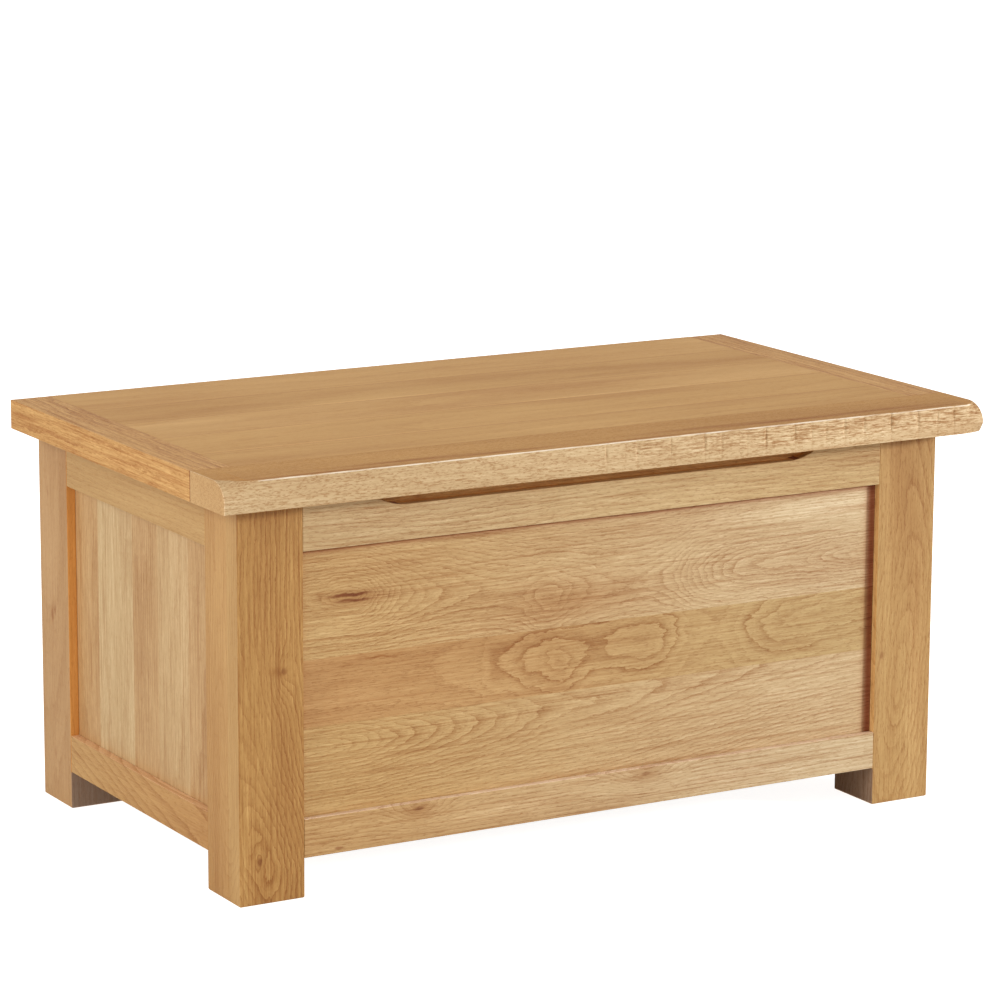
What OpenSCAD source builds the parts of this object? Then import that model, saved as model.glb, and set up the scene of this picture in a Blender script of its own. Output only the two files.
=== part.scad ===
// Oak blanket chest: a framed and panelled carcass on square legs, with a hinged
// lid. The lid has cleated ends and a hewn front edge. A two-arm stay inside the
// right rear corner stops it just past upright.
// Millimetres. +X is right, +Y is back, +Z is up. The origin is on the floor, at
// the middle of the closed chest's box.

/* [Carcass] */
// Width across the legs
carcass_w = 834; // [700:1:1000]
// Depth across the legs
carcass_d = 478; // [440:1:560]
// Height of the legs
carcass_h = 407; // [380:1:480]
// Side of a square leg
leg_s = 72; // [68:1:80]
// Height of the bottom rails above the floor
floor_gap = 41; // [35:1:60]

/* [Rails] */
// Thickness of every rail
rail_t = 26; // [25:1:30]
// Height of the top rails
top_rail_h = 53; // [50:1:60]
// Height of the bottom rails
bottom_rail_h = 40; // [38:1:50]
// Length of a tenon
tenon_l = 25; // [20:1:28]
// Thickness of a tenon, and of every panel
panel_t = 10; // [9:1:11]
// How deep a panel sits in its grooves
groove_d = 9; // [7:1:10]
// Setback of the front and back panels from the legs' faces
front_setback = 8; // [6:1:9]
// Setback of the side panels from the legs' faces
side_setback = 10; // [8:1:11]

/* [Finger scoop] */
// Depth of the scoop below the top rail's top edge
scoop_h = 16.5; // [12:0.5:20]
// How far the scoop goes into the rail's face
scoop_d = 13; // [10:1:15]
// Length of the scoop's level floor
scoop_l = 456; // [300:1:500]
// Radius of the scoop's sloping ends
scoop_r = 65; // [40:1:80]

/* [Lid] */
// Length of the lid
lid_l = 900; // [860:1:1060]
// Thickness of the lid
lid_t = 31; // [28:1:36]
// Overhang of the lid in front of the legs
lid_front = 39.5; // [25:0.5:45]
// How far the lid's rear edge stops short of the legs' back
lid_inset = 3.5; // [2:0.5:5]
// Gap between the carcass and the lid
lid_gap = 1; // [1:0.5:2]
// Width of the cleats across the lid's ends
cleat_w = 45; // [40:1:60]
// Width of the front strip with the hewn edge
strip_w = 75; // [60:1:90]
// How far the lid opens, in degrees
lid_open = 95; // [80:1:100]

/* [Hinges and stay] */
// Length of a butt hinge
hinge_l = 76; // [60:1:100]
// Distance of each hinge's middle from the chest's middle
hinge_x = 290; // [200:1:300]
// Width of a hinge leaf, from the pin's axis
leaf_w = 24; // [22:1:25]
// Radius of the hinge knuckles
knuckle_r = 3.5; // [3:0.5:4]
// Width of the stay's two arms
arm_w = 15; // [12:1:18]

/* [Hidden] */
$fn = 48;

// Cuts run this far past the faces that they open
past = 1;
// Side clearance of tenons, grooves and screw holes
ease = 0.1;
// End clearance of tenons and panels
end_ease = 0.5;

// Pin axis: behind the lid's rear edge, in the middle of the gap under the lid
pin_behind = 2;
pin_r = 1.6;
pin_bore_r = pin_r + 0.05;
pin_head_r = 2.6;
pin_head_t = 1.2;
hinge_out = pin_behind + knuckle_r - lid_inset;
total_d = lid_front + carcass_d + hinge_out;
front_y = lid_front - total_d / 2;
back_y = front_y + carcass_d;
lid_z0 = carcass_h + lid_gap;
lid_z1 = lid_z0 + lid_t;
lid_y0 = front_y - lid_front;
lid_y1 = back_y - lid_inset;
pin_y = lid_y1 + pin_behind;
pin_z = carcass_h + lid_gap / 2;

// Rails and panels
inner_x = carcass_w / 2 - leg_s;
top_rail_z = carcass_h - top_rail_h;
bottom_rail_z1 = floor_gap + bottom_rail_h;
tenon_shoulder = 5;
tenon_top_shoulder = 10;
panel_z0 = bottom_rail_z1 - groove_d + end_ease;
panel_z1 = top_rail_z + groove_d - end_ease;
panel_x = inner_x + groove_d - end_ease;
panel_y0 = front_y + leg_s - groove_d + end_ease;
panel_y1 = back_y - leg_s + groove_d - end_ease;
// Heights of the front boards, from the lowest: the last takes what is left
front_board_h = [100, 69];
front_seams = [
    panel_z0,
    panel_z0 + front_board_h[0],
    panel_z0 + front_board_h[0] + front_board_h[1],
    panel_z1
];
// Widths of the side staves, from the front: the last takes what is left
side_stave_w = [68, 72, 61, 86];

// Base
batten_s = 18;
batten_z = 45;
base_t = 9;
base_ease = 1;

// Lid boards, from the back: the last takes what is left
lid_stave_w = [100, 86, 88, 95];
strip_y = lid_y0 + strip_w;
field_x = lid_l / 2 - cleat_w;
tongue_t = 10;
tongue_l = 14;
tongue_back = 15;
tongue_front = 8;
edge_w = 18;
edge_z = 12;
edge_tuck = 2;

// Hinges
leaf_t = 2;
knuckles = 5;
knuckle_gap = 0.4;
knuckle_l = hinge_l / knuckles;
hinge_room = hinge_l + 2 * (pin_head_t + 1);
cove_r = knuckle_r + 0.7;
hinge_screw_dx = 26;
hinge_screw_y = pin_y - 14;
buffer_r = 5;

// Screws: shank radius, head radius, head height
screw_r = 1.6;
screw_head_r = 3.2;
screw_head_h = 1.6;
hinge_screw_l = 16;
plate_screw_l = 14;
batten_screw_l = 36;

// Stay: a parallelogram. The lid pivot and the elbow are as far apart as the pin
// axis and the leg pivot, so the long arm turns with the lid.
lid_pivot = [-150, -18.5];
leg_pivot = [-45, -60];
leg_pivot_y = pin_y + leg_pivot[0];
leg_pivot_z = pin_z + leg_pivot[1];
lid_pivot_y = pin_y + lid_pivot[0];
lid_pivot_z = pin_z + lid_pivot[1];
elbow_y = lid_pivot_y + leg_pivot[0];
elbow_z = lid_pivot_z + leg_pivot[1];
long_arm_l = norm(lid_pivot);
short_arm_l = norm(leg_pivot);
long_arm_tilt = atan2(-lid_pivot[1], -lid_pivot[0]);
short_arm_tilt = atan2(-leg_pivot[1], -leg_pivot[0]);
elbow_open = short_arm_tilt - long_arm_tilt + lid_open;
arm_t = 2.5;
plate_t = 2;
rivet_r = 2.5;
rivet_head_r = 4.5;
rivet_head_t = 1.5;
rivet_ease = 0.05;
side_gap = 0.3;
stop_r = 1.5;
stop_margin = 1.2;
stop_d = (arm_w / 2 + stop_r) / sin(180 - elbow_open - stop_margin);
// Faces of the stay's layers, from the leg towards the middle of the chest
plate_x = inner_x - plate_t;
collar_t = 1;
long_arm_x = plate_x - collar_t - side_gap - arm_t;
short_arm_x = long_arm_x - 0.4 - arm_t;
tab_x = short_arm_x - 0.4 - arm_t;
plate_h = 50;
plate_w = 20;
plate_screw_dz = 17;
flange_w = 18;
flange_l = 44;
flange_screw_dy = 14;

oak_leg = [0.80, 0.58, 0.36];
oak_rail = [0.84, 0.67, 0.45];
oak_panel = [0.82, 0.64, 0.42];
oak_stave = [0.83, 0.69, 0.49];
oak_lid = [0.75, 0.58, 0.39];
oak_cleat = [0.80, 0.61, 0.38];
oak_edge = [0.84, 0.70, 0.50];
ply = [0.86, 0.76, 0.58];
pine = [0.87, 0.75, 0.55];
brass = [0.80, 0.65, 0.32];
steel = [0.62, 0.62, 0.60];
clear_rubber = [0.80, 0.80, 0.78];

// ---------------------------------------------------------------- helpers

// A block from its lowest and highest corners
module block(low, high) {
    translate(low) cube(high - low);
}

// A cylinder along +X
module rod_x(r, l) {
    rotate([0, 90, 0]) cylinder(r = r, h = l);
}

// Local frame of a front (side -1) or back (side 1) face: y runs into the chest
module on_front(side) {
    translate([0, side < 0 ? front_y : back_y, 0])
        mirror([0, side > 0 ? 1 : 0, 0])
            children();
}

// Local frame of a left (side -1) or right (side 1) face: x runs into the chest
module on_side(side) {
    translate([side * carcass_w / 2, 0, 0])
        mirror([side > 0 ? 1 : 0, 0, 0])
            children();
}

// Countersunk screw: head's top at the origin, shank along -Z
module screw(length) {
    translate([0, 0, -screw_head_h])
        cylinder(r1 = screw_r, r2 = screw_head_r, h = screw_head_h);
    translate([0, 0, -length])
        cylinder(r = screw_r, h = length - screw_head_h);
}

// Hole for a countersunk screw, open past the head
module screw_hole(length) {
    translate([0, 0, -screw_head_h])
        cylinder(r1 = screw_r + ease, r2 = screw_head_r + ease, h = screw_head_h);
    cylinder(r = screw_head_r + ease, h = past);
    translate([0, 0, -length - ease])
        cylinder(r = screw_r + ease, h = length + ease);
}

// ---------------------------------------------------------------- legs

// One leg: local frame at its outer corner, x and y running into the chest
module leg_body() {
    groove_z0 = floor_gap + tenon_shoulder;
    groove_z1 = carcass_h - tenon_top_shoulder;
    depth = tenon_l + end_ease;
    y0 = front_setback - ease;
    x0 = side_setback - ease;
    slot = panel_t + 2 * ease;
    difference() {
        block([0, 0, 0], [leg_s, leg_s, carcass_h]);
        block([leg_s - groove_d, y0, groove_z0 - ease], [leg_s + past, y0 + slot, groove_z1 + ease]);
        block([x0, leg_s - groove_d, groove_z0 - ease], [x0 + slot, leg_s + past, groove_z1 + ease]);
        for (span = [[groove_z0, bottom_rail_z1 - tenon_shoulder],
                     [top_rail_z + tenon_shoulder, groove_z1]]) {
            block([leg_s - depth, y0, span[0] - ease], [leg_s + past, y0 + slot, span[1] + ease]);
            block([x0, leg_s - depth, span[0] - ease], [x0 + slot, leg_s + past, span[1] + ease]);
        }
    }
}

module leg(side_x, side_y) {
    color(oak_leg)
        on_side(side_x) on_front(side_y) leg_body();
}

module leg_front_left() { leg(-1, -1); }
module leg_front_right() { leg(1, -1); }
module leg_back_left() { leg(-1, 1); }
module leg_back_right() {
    color(oak_leg)
        difference() {
            leg(1, 1);
            stay_leg_screw_places() screw_hole(plate_screw_l);
        }
}

// ---------------------------------------------------------------- rails

// Rail along X: local y runs inwards; the groove is in the top or bottom edge
module front_rail_body(z0, z1, groove_up) {
    is_top = groove_up ? 0 : 1;
    tenon_z1 = z1 - (is_top ? tenon_top_shoulder : tenon_shoulder);
    groove_z = groove_up ? [z1 - groove_d, z1 + past] : [z0 - past, z0 + groove_d];
    difference() {
        union() {
            block([-inner_x, 0, z0], [inner_x, rail_t, z1]);
            block([-inner_x - tenon_l, front_setback, z0 + tenon_shoulder],
                  [inner_x + tenon_l, front_setback + panel_t, tenon_z1]);
        }
        block([-inner_x - tenon_l - past, front_setback - ease, groove_z[0]],
              [inner_x + tenon_l + past, front_setback + panel_t + ease, groove_z[1]]);
    }
}

// Rail along Y: local x runs inwards
module side_rail_body(z0, z1, groove_up) {
    is_top = groove_up ? 0 : 1;
    y0 = front_y + leg_s;
    y1 = back_y - leg_s;
    tenon_z1 = z1 - (is_top ? tenon_top_shoulder : tenon_shoulder);
    groove_z = groove_up ? [z1 - groove_d, z1 + past] : [z0 - past, z0 + groove_d];
    difference() {
        union() {
            block([0, y0, z0], [rail_t, y1, z1]);
            block([side_setback, y0 - tenon_l, z0 + tenon_shoulder],
                  [side_setback + panel_t, y1 + tenon_l, tenon_z1]);
        }
        block([side_setback - ease, y0 - tenon_l - past, groove_z[0]],
              [side_setback + panel_t + ease, y1 + tenon_l + past, groove_z[1]]);
    }
}

// Outline of the scoop in X and Z, measured from the middle of the rail's top edge
module scoop_outline() {
    steps = 8;
    reach = acos(1 - scoop_h / scoop_r);
    function end_point(a) = [
        scoop_l / 2 + scoop_r * sin(a),
        -scoop_h + scoop_r * (1 - cos(a))
    ];
    right = [for (i = [0 : steps]) end_point(reach * i / steps)];
    left = [for (i = [steps : -1 : 0]) [-right[i][0], right[i][1]]];
    top = [[right[steps][0], past], [-right[steps][0], past]];
    polygon(concat(right, top, left));
}

module front_top_rail() {
    color(oak_rail)
        difference() {
            on_front(-1) front_rail_body(top_rail_z, carcass_h, false);
            translate([0, front_y + scoop_d, carcass_h])
                rotate([90, 0, 0])
                    linear_extrude(height = scoop_d + past)
                        scoop_outline();
        }
}

module front_bottom_rail() {
    color(oak_rail)
        difference() {
            on_front(-1) front_rail_body(floor_gap, bottom_rail_z1, true);
            on_front(-1) long_batten_screw_places() screw_hole(batten_screw_l);
        }
}

module back_bottom_rail() {
    color(oak_rail)
        difference() {
            on_front(1) front_rail_body(floor_gap, bottom_rail_z1, true);
            on_front(1) long_batten_screw_places() screw_hole(batten_screw_l);
        }
}

module back_top_rail() {
    color(oak_rail)
        difference() {
            on_front(1) front_rail_body(top_rail_z, carcass_h, false);
            hinge_places() {
                block([-hinge_room / 2, pin_y - leaf_w - ease, carcass_h - leaf_t],
                      [hinge_room / 2, back_y + past, carcass_h + past]);
                translate([-hinge_room / 2, pin_y, pin_z]) rod_x(cove_r, hinge_room);
                hinge_screw_places()
                    translate([0, 0, carcass_h]) screw_hole(hinge_screw_l);
            }
        }
}

module side_top_rail(side) {
    color(oak_rail)
        on_side(side) side_rail_body(top_rail_z, carcass_h, false);
}

module side_bottom_rail(side) {
    color(oak_rail)
        on_side(side)
            difference() {
                side_rail_body(floor_gap, bottom_rail_z1, true);
                short_batten_screw_places() screw_hole(batten_screw_l);
            }
}

module left_top_rail() { side_top_rail(-1); }
module left_bottom_rail() { side_bottom_rail(-1); }
module right_top_rail() { side_top_rail(1); }
module right_bottom_rail() { side_bottom_rail(1); }

// ---------------------------------------------------------------- panels

module front_board(index) {
    color(oak_panel)
        on_front(-1)
            block([-panel_x, front_setback, front_seams[index]],
                  [panel_x, front_setback + panel_t, front_seams[index + 1]]);
}

module front_board_lower() { front_board(0); }
module front_board_middle() { front_board(1); }
module front_board_upper() { front_board(2); }

module back_panel() {
    color(oak_panel)
        on_front(1)
            block([-panel_x, front_setback, panel_z0], [panel_x, front_setback + panel_t, panel_z1]);
}

// Front edge of side stave number index, counted from the front
function side_seam(index) =
    index == 0 ? panel_y0 :
    index > len(side_stave_w) ? panel_y1 :
    side_seam(index - 1) + side_stave_w[index - 1];

module side_stave(side, index) {
    color(oak_stave)
        on_side(side)
            block([side_setback, side_seam(index), panel_z0],
                  [side_setback + panel_t, side_seam(index + 1), panel_z1]);
}

module left_stave_1() { side_stave(-1, 0); }
module left_stave_2() { side_stave(-1, 1); }
module left_stave_3() { side_stave(-1, 2); }
module left_stave_4() { side_stave(-1, 3); }
module left_stave_5() { side_stave(-1, 4); }
module right_stave_1() { side_stave(1, 0); }
module right_stave_2() { side_stave(1, 1); }
module right_stave_3() { side_stave(1, 2); }
module right_stave_4() { side_stave(1, 3); }
module right_stave_5() { side_stave(1, 4); }

// ---------------------------------------------------------------- base

// Screw places along a front or back batten, in the face's local frame
module long_batten_screw_places() {
    for (x = [-270, -90, 90, 270])
        translate([x, rail_t + batten_s, batten_z + batten_s / 2])
            rotate([-90, 0, 0])
                children();
}

// Screw places along a left or right batten, in the face's local frame
module short_batten_screw_places() {
    middle_y = (front_y + back_y) / 2;
    for (dy = [-110, 110])
        translate([rail_t + batten_s, middle_y + dy, batten_z + batten_s / 2])
            rotate([0, 90, 0])
                children();
}

module long_batten(side) {
    color(pine)
        on_front(side)
            difference() {
                block([-inner_x + base_ease, rail_t, batten_z],
                      [inner_x - base_ease, rail_t + batten_s, batten_z + batten_s]);
                long_batten_screw_places() screw_hole(batten_screw_l);
            }
}

module short_batten(side) {
    color(pine)
        on_side(side)
            difference() {
                block([rail_t, front_y + leg_s + base_ease, batten_z],
                      [rail_t + batten_s, back_y - leg_s - base_ease, batten_z + batten_s]);
                short_batten_screw_places() screw_hole(batten_screw_l);
            }
}

module batten_front() { long_batten(-1); }
module batten_back() { long_batten(1); }
module batten_left() { short_batten(-1); }
module batten_right() { short_batten(1); }

module batten_screws() {
    color(steel)
        for (side = [-1, 1]) {
            on_front(side) long_batten_screw_places() screw(batten_screw_l);
            on_side(side) short_batten_screw_places() screw(batten_screw_l);
        }
}

module base_panel() {
    base_z = batten_z + batten_s;
    half_x = carcass_w / 2 - rail_t - base_ease;
    color(ply)
        union() {
            block([-inner_x + base_ease, front_y + rail_t + base_ease, base_z],
                  [inner_x - base_ease, back_y - rail_t - base_ease, base_z + base_t]);
            block([-half_x, front_y + leg_s + base_ease, base_z],
                  [half_x, back_y - leg_s - base_ease, base_z + base_t]);
        }
}

// ---------------------------------------------------------------- lid

// Rear edge of lid stave number index, counted from the back
function lid_seam(index) =
    index == 0 ? lid_y1 :
    index > len(lid_stave_w) ? strip_y :
    lid_seam(index - 1) - lid_stave_w[index - 1];

// A lid stave and the tongues on its ends
module lid_stave(index) {
    y0 = lid_seam(index + 1);
    y1 = lid_seam(index);
    tongue_z = lid_z0 + (lid_t - tongue_t) / 2;
    block([-field_x, y0, lid_z0], [field_x, y1, lid_z1]);
    block([-field_x - tongue_l, max(y0, strip_y + tongue_front), tongue_z],
          [field_x + tongue_l, min(y1, lid_y1 - tongue_back), tongue_z + tongue_t]);
}

// The rear stave carries the hinges
module lid_stave_1() {
    color(oak_lid)
        difference() {
            lid_stave(0);
            hinge_places() {
                block([-hinge_room / 2, pin_y - leaf_w - ease, lid_z0 - past],
                      [hinge_room / 2, lid_y1 + past, lid_z0 + leaf_t]);
                translate([-hinge_room / 2, pin_y, pin_z]) rod_x(cove_r, hinge_room);
                hinge_screw_places()
                    translate([0, 0, lid_z0]) mirror([0, 0, 1]) screw_hole(hinge_screw_l);
            }
        }
}

// The second stave carries the stay's bracket
module lid_stave_2() {
    color(oak_lid)
        difference() {
            lid_stave(1);
            stay_lid_screw_places() screw_hole(plate_screw_l);
        }
}

module lid_stave_3() {
    color(oak_lid) lid_stave(2);
}

module lid_stave_4() {
    color(oak_lid) lid_stave(3);
}

module lid_stave_5() {
    color(oak_lid) lid_stave(4);
}

// Cleat: local x runs from the lid's end towards its middle
module lid_cleat(side) {
    groove_z = lid_z0 + (lid_t - tongue_t) / 2;
    color(oak_cleat)
        translate([side * lid_l / 2, 0, 0])
            mirror([side > 0 ? 1 : 0, 0, 0])
                difference() {
                    block([0, strip_y, lid_z0], [cleat_w, lid_y1, lid_z1]);
                    block([cleat_w - tongue_l - end_ease, strip_y + tongue_front - end_ease, groove_z - ease],
                          [cleat_w + past, lid_y1 - tongue_back + end_ease, groove_z + tongue_t + ease]);
                }
}

module lid_cleat_left() { lid_cleat(-1); }
module lid_cleat_right() { lid_cleat(1); }

// Section of the front strip in Y and Z: a flat back and an eased, hewn front
module strip_section() {
    steps = 10;
    curve = [for (i = [0 : steps]) [
        lid_y0 + edge_w * (1 - cos(90 * i / steps)),
        lid_z0 + edge_z + (lid_t - edge_z) * sin(90 * i / steps)
    ]];
    polygon(concat([[strip_y, lid_z0], [lid_y0 + edge_tuck, lid_z0]], curve, [[strip_y, lid_z1]]));
}

module lid_front_strip() {
    color(oak_edge)
        translate([-lid_l / 2, 0, 0])
            rotate([90, 0, 90])
                linear_extrude(height = lid_l)
                    strip_section();
}

// Two soft pads on the front legs, which the shut lid rests on
module lid_buffers() {
    color(clear_rubber)
        for (side = [-1, 1])
            on_side(side) on_front(-1)
                translate([leg_s / 2, leg_s / 2, carcass_h])
                    cylinder(r = buffer_r, h = lid_gap);
}

// ---------------------------------------------------------------- hinges

module hinge_places() {
    for (side = [-1, 1])
        translate([side * hinge_x, 0, 0])
            children();
}

module hinge_screw_places() {
    for (dx = [-hinge_screw_dx, 0, hinge_screw_dx])
        translate([dx, hinge_screw_y, 0])
            children();
}

// One leaf at the middle of the chest. The first knuckle is number `first`, and
// every second one belongs to this leaf.
module hinge_leaf(first, z0) {
    clear_y = pin_y - knuckle_r - knuckle_gap;
    difference() {
        union() {
            block([-hinge_l / 2, pin_y - leaf_w, z0], [hinge_l / 2, clear_y, z0 + leaf_t]);
            for (i = [first : 2 : knuckles - 1]) {
                x0 = -hinge_l / 2 + i * knuckle_l + knuckle_gap / 2;
                x1 = x0 + knuckle_l - knuckle_gap;
                translate([x0, pin_y, pin_z]) rod_x(knuckle_r, x1 - x0);
                block([x0, clear_y - 0.5, z0], [x1, pin_y - pin_bore_r - 0.3, z0 + leaf_t]);
            }
        }
        translate([-hinge_l / 2 - past, pin_y, pin_z]) rod_x(pin_bore_r, hinge_l + 2 * past);
        children();
    }
}

module carcass_leaf(side) {
    color(brass)
        translate([side * hinge_x, 0, 0])
            hinge_leaf(0, carcass_h - leaf_t)
                hinge_screw_places() translate([0, 0, carcass_h]) screw_hole(hinge_screw_l);
}

module lid_leaf(side) {
    color(brass)
        translate([side * hinge_x, 0, 0])
            hinge_leaf(1, lid_z0)
                hinge_screw_places()
                    translate([0, 0, lid_z0]) mirror([0, 0, 1]) screw_hole(hinge_screw_l);
}

module hinge_pin(side) {
    color(brass)
        translate([side * hinge_x, pin_y, pin_z]) {
            translate([-hinge_l / 2, 0, 0]) rod_x(pin_r, hinge_l);
            for (end = [-1, 1])
                translate([end * (hinge_l + pin_head_t) / 2 - pin_head_t / 2, 0, 0])
                    rod_x(pin_head_r, pin_head_t);
        }
}

module hinge_left_leaf() { carcass_leaf(-1); }
module hinge_right_leaf() { carcass_leaf(1); }
module hinge_left_lid_leaf() { lid_leaf(-1); }
module hinge_right_lid_leaf() { lid_leaf(1); }
module hinge_left_pin() { hinge_pin(-1); }
module hinge_right_pin() { hinge_pin(1); }

module hinge_screws() {
    color(brass)
        hinge_places() hinge_screw_places()
            translate([0, 0, carcass_h]) screw(hinge_screw_l);
}

module hinge_lid_screws() {
    color(brass)
        hinge_places() hinge_screw_places()
            translate([0, 0, lid_z0]) mirror([0, 0, 1]) screw(hinge_screw_l);
}

// ---------------------------------------------------------------- lid stay

module stay_leg_screw_places() {
    for (dz = [-plate_screw_dz, plate_screw_dz])
        translate([plate_x, leg_pivot_y, leg_pivot_z + dz])
            rotate([0, -90, 0])
                children();
}

module stay_lid_screw_places() {
    for (dy = [-flange_screw_dy, flange_screw_dy])
        translate([tab_x + arm_t / 2 - flange_w / 2, lid_pivot_y + dy, lid_z0 - plate_t])
            mirror([0, 0, 1])
                children();
}

// Flat bar in the YZ plane between two pivots, with round ends and a bore at each.
// It starts at the origin, and its second pivot is at distance l along -Y.
module arm_bar(l, tail, bore_a, bore_b) {
    difference() {
        union() {
            rod_x(arm_w / 2, arm_t);
            translate([0, -l - tail, 0]) rod_x(arm_w / 2, arm_t);
            block([0, -l - tail, -arm_w / 2], [arm_t, 0, arm_w / 2]);
        }
        translate([-past, 0, 0]) rod_x(bore_a, arm_t + 2 * past);
        translate([-past, -l, 0]) rod_x(bore_b, arm_t + 2 * past);
    }
}

module stay_leg_plate() {
    end_z = plate_h / 2 - plate_w / 2;
    color(brass)
        difference() {
            translate([plate_x, leg_pivot_y, leg_pivot_z])
                union() {
                    translate([0, 0, end_z]) rod_x(plate_w / 2, plate_t);
                    translate([0, 0, -end_z]) rod_x(plate_w / 2, plate_t);
                    block([0, -plate_w / 2, -end_z], [plate_t, plate_w / 2, end_z]);
                }
            translate([plate_x - past, leg_pivot_y, leg_pivot_z])
                rod_x(rivet_r + rivet_ease, plate_t + 2 * past);
            stay_leg_screw_places() screw_hole(plate_screw_l);
        }
}

// Rivet in the plate: a collar, the long arm's journal and a head
module stay_leg_rivet() {
    color(brass)
        translate([0, leg_pivot_y, leg_pivot_z]) {
            translate([long_arm_x - side_gap, 0, 0]) rod_x(rivet_r, inner_x - long_arm_x + side_gap);
            translate([plate_x - collar_t, 0, 0]) rod_x(rivet_head_r, collar_t);
            translate([long_arm_x - side_gap - rivet_head_t, 0, 0]) rod_x(rivet_head_r, rivet_head_t);
        }
}

// Long arm, from the leg plate to the elbow. The pin past the elbow is the stop:
// the short arm's edge meets it when the lid is fully open.
module stay_long_arm() {
    color(brass)
        translate([long_arm_x, leg_pivot_y, leg_pivot_z])
            rotate([long_arm_tilt, 0, 0]) {
                arm_bar(long_arm_l, stop_d, rivet_r + rivet_ease, rivet_r);
                translate([short_arm_x - long_arm_x, -long_arm_l - stop_d, 0])
                    rod_x(stop_r, long_arm_x - short_arm_x);
            }
}

// Rivet fixed in the long arm, on which the short arm turns
module stay_elbow_rivet() {
    x0 = short_arm_x - side_gap;
    x1 = long_arm_x + arm_t;
    color(brass)
        translate([0, elbow_y, elbow_z]) {
            translate([x0, 0, 0]) rod_x(rivet_r, x1 - x0);
            translate([x1, 0, 0]) rod_x(rivet_head_r, collar_t);
            translate([x0 - rivet_head_t, 0, 0]) rod_x(rivet_head_r, rivet_head_t);
        }
}

// Short arm, from the lid bracket to the elbow
module stay_short_arm() {
    color(brass)
        translate([short_arm_x, lid_pivot_y, lid_pivot_z])
            rotate([short_arm_tilt, 0, 0])
                arm_bar(short_arm_l, 0, rivet_r + rivet_ease, rivet_r + rivet_ease);
}

// Angle bracket under the lid: a flange towards the middle, and a tab that hangs
module stay_lid_bracket() {
    color(brass)
        difference() {
            union() {
                block([tab_x + arm_t - flange_w, lid_pivot_y - flange_l / 2, lid_z0 - plate_t],
                      [tab_x + arm_t, lid_pivot_y + flange_l / 2, lid_z0]);
                block([tab_x, lid_pivot_y - arm_w / 2, lid_pivot_z],
                      [tab_x + arm_t, lid_pivot_y + arm_w / 2, lid_z0 - plate_t]);
                translate([tab_x, lid_pivot_y, lid_pivot_z]) rod_x(arm_w / 2, arm_t);
            }
            translate([tab_x - past, lid_pivot_y, lid_pivot_z]) rod_x(rivet_r, arm_t + 2 * past);
            stay_lid_screw_places() screw_hole(plate_screw_l);
        }
}

// Rivet fixed in the lid bracket, on which the short arm turns
module stay_lid_rivet() {
    x1 = short_arm_x + arm_t + side_gap;
    color(brass)
        translate([0, lid_pivot_y, lid_pivot_z]) {
            translate([tab_x, 0, 0]) rod_x(rivet_r, x1 - tab_x);
            translate([tab_x - rivet_head_t, 0, 0]) rod_x(rivet_head_r, rivet_head_t);
            translate([x1, 0, 0]) rod_x(rivet_head_r, rivet_head_t);
        }
}

module stay_leg_screws() {
    color(brass) stay_leg_screw_places() screw(plate_screw_l);
}

module stay_lid_screws() {
    color(brass) stay_lid_screw_places() screw(plate_screw_l);
}

// ---------------------------------------------------------------- drawing

leg_front_left();
leg_front_right();
leg_back_left();
leg_back_right();
front_top_rail();
front_bottom_rail();
back_top_rail();
back_bottom_rail();
left_top_rail();
left_bottom_rail();
right_top_rail();
right_bottom_rail();
front_board_lower();
front_board_middle();
front_board_upper();
back_panel();
left_stave_1();
left_stave_2();
left_stave_3();
left_stave_4();
left_stave_5();
right_stave_1();
right_stave_2();
right_stave_3();
right_stave_4();
right_stave_5();
base_panel();
batten_front();
batten_back();
batten_left();
batten_right();
batten_screws();
lid_stave_1();
lid_stave_2();
lid_stave_3();
lid_stave_4();
lid_stave_5();
lid_cleat_left();
lid_cleat_right();
lid_front_strip();
lid_buffers();
hinge_left_leaf();
hinge_right_leaf();
hinge_left_lid_leaf();
hinge_right_lid_leaf();
hinge_left_pin();
hinge_right_pin();
hinge_screws();
hinge_lid_screws();
stay_leg_plate();
stay_leg_rivet();
stay_long_arm();
stay_elbow_rivet();
stay_short_arm();
stay_lid_bracket();
stay_lid_rivet();
stay_leg_screws();
stay_lid_screws();
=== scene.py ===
"""Looks of an oak blanket chest: solid oak with a satin lacquer, brass hinges and a steel lid stay.

Everything is in metres in the part's own frame: X along the chest, -Y to its front, Z up. Places of
grain, marks and slabs are in millimetres of the same frame. Named colours are 8-bit sRGB.
"""

import math
import random

import bmesh
import bpy
from mathutils import Matrix, Vector


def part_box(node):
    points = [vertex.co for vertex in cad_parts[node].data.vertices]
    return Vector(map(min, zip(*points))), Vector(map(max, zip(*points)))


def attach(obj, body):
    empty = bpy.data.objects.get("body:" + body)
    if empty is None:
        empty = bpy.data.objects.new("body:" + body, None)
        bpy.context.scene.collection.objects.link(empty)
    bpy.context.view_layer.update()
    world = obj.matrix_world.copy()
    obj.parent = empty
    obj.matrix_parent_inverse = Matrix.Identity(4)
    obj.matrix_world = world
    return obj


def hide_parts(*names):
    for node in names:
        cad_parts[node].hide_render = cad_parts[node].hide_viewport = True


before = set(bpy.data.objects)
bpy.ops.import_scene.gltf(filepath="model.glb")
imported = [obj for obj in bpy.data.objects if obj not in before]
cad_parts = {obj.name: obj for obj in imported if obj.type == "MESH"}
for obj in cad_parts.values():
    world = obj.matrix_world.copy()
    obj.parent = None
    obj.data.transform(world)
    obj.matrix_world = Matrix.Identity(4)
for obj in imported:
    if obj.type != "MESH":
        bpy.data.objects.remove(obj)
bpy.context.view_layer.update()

MM = 0.001
WHITE = (1.0, 1.0, 1.0, 1.0)

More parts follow.
